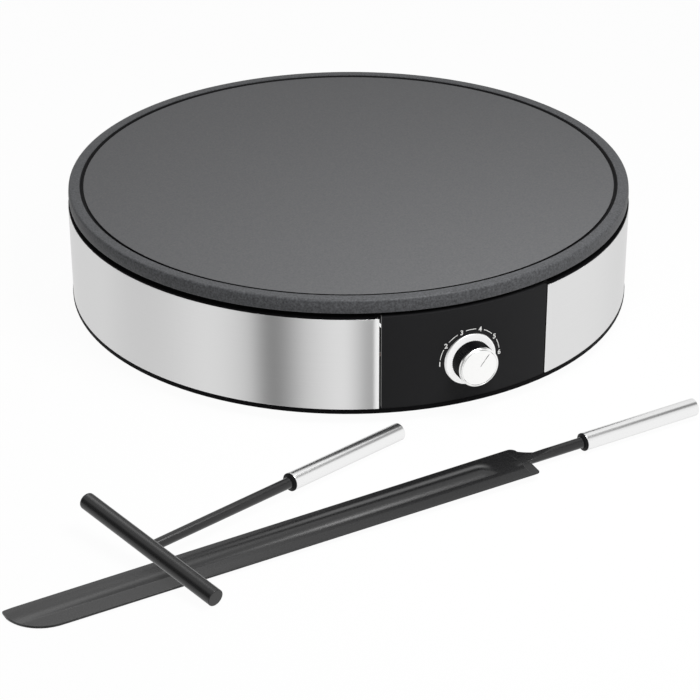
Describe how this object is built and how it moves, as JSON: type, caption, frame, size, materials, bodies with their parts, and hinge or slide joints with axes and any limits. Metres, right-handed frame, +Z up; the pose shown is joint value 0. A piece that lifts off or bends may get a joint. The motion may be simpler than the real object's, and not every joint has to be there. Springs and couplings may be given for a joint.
{
  "type": "electric crepe maker",
  "caption": "Round electric crepe maker with a cast baking plate, brushed steel band and front temperature knob, with its batter spreader and long turner beside it.",
  "frame": {"origin": "on the axis of the round body, at the level of the table it stands on (the underside of the feet)", "axes": "+Z up along the body axis, square to the baking plate; -Y towards the knob and the tools, +Y towards the inlet of the supply lead"},
  "size_m": [0.4832, 0.4827, 0.0793],
  "materials": {
    "coated_aluminium": "die-cast aluminium with a fine-grained matt non-stick coating",
    "element_steel": "heat-tinted stainless tube",
    "nickel_steel": "nickel-plated steel tab",
    "zinc_steel": "zinc-plated steel",
    "shield_steel": "aluminised steel sheet",
    "bulb_copper": "drawn copper",
    "fuse_case": "epoxy-sealed fuse case",
    "case_plastic": "heat-resistant glass-filled plastic, fine spark texture",
    "panel_plastic": "satin moulded plastic",
    "dial_print": "white pad print",
    "foot_rubber": "moulded rubber",
    "band_steel": "stainless strip with a vertical brushed grain",
    "collar_metal": "satin anodised, turned",
    "knob_plastic": "moulded plastic with fine ribs",
    "knob_metal": "turned face with a bright chamfer",
    "thermostat_plastic": "phenolic moulding",
    "thermostat_brass": "turned brass",
    "shaft_steel": "turned steel",
    "block_plastic": "polyamide",
    "live_sleeve": "silicone sleeve",
    "neutral_sleeve": "silicone sleeve",
    "earth_sleeve": "silicone sleeve",
    "gland_plastic": "polyamide",
    "tool_plastic": "glass-filled nylon, satin",
    "handle_steel": "brushed stainless tube"
  },
  "bodies": {
    "root": {"baking_plate": "coated_aluminium", "heating_element": "element_steel", "element_tabs": "nickel_steel", "thermostat_tabs": "nickel_steel", "earth_tag": "nickel_steel", "element_clamps": "zinc_steel", "strap_screws": "zinc_steel", "bulb_clip": "zinc_steel", "fuse_clip": "zinc_steel", "plate_spacers": "zinc_steel", "plate_screws": "zinc_steel", "case_screws": "zinc_steel", "bracket_screws": "zinc_steel", "thermostat_bracket": "zinc_steel", "terminal_screws": "zinc_steel", "heat_shield": "shield_steel", "sensing_bulb": "bulb_copper", "capillary_tube": "bulb_copper", "thermal_fuse": "fuse_case", "base_shell": "case_plastic", "top_ring": "case_plastic", "control_panel": "panel_plastic", "dial_markings": "dial_print", "rubber_feet": "foot_rubber", "steel_band": "band_steel", "knob_collar": "collar_metal", "thermostat_body": "thermostat_plastic", "thermostat_bush": "thermostat_brass", "bush_nut": "thermostat_brass", "diaphragm_capsule": "thermostat_brass", "terminal_block": "block_plastic", "live_lead": "live_sleeve", "switched_lead": "live_sleeve", "fuse_lead": "live_sleeve", "neutral_lead": "neutral_sleeve", "earth_lead": "earth_sleeve", "cord_gland": "gland_plastic"},
    "knob": {"knob_grip": "knob_plastic", "knob_ring": "knob_metal", "knob_cap": "knob_metal", "knob_pointer": "knob_plastic", "thermostat_shaft": "shaft_steel"},
    "adjuster": {"adjusting_nut": "thermostat_brass"},
    "turner": {"turner_blade": "tool_plastic", "turner_rod": "tool_plastic", "turner_ferrule": "tool_plastic", "turner_handle": "handle_steel"},
    "spreader": {"spreader_bar": "tool_plastic", "spreader_rod": "tool_plastic", "spreader_ferrule": "tool_plastic", "spreader_handle": "handle_steel"}
  },
  "joints": [
    {"name": "knob_turn", "type": "hinge", "parent": "root", "child": "knob", "pos_m": [0, -0.18, 0.0345], "axis": [0, 1, 0], "range_deg": [-128, 52]},
    {"name": "adjuster_travel", "type": "slide", "parent": "root", "child": "adjuster", "axis": [0, 1, 0], "range_m": [-0.00057, 0.00024]},
    {"name": "turner_lift", "type": "slide", "parent": "root", "child": "turner", "axis": [0, 0, 1], "range_m": [0, 0.12]},
    {"name": "spreader_lift", "type": "slide", "parent": "turner", "child": "spreader", "axis": [0, 0, 1], "range_m": [0, 0.12]}
  ],
  "couplings": [
    {"joint": "adjuster_travel", "follows": "knob_turn", "m_per_rad": 0.00025}
  ]
}
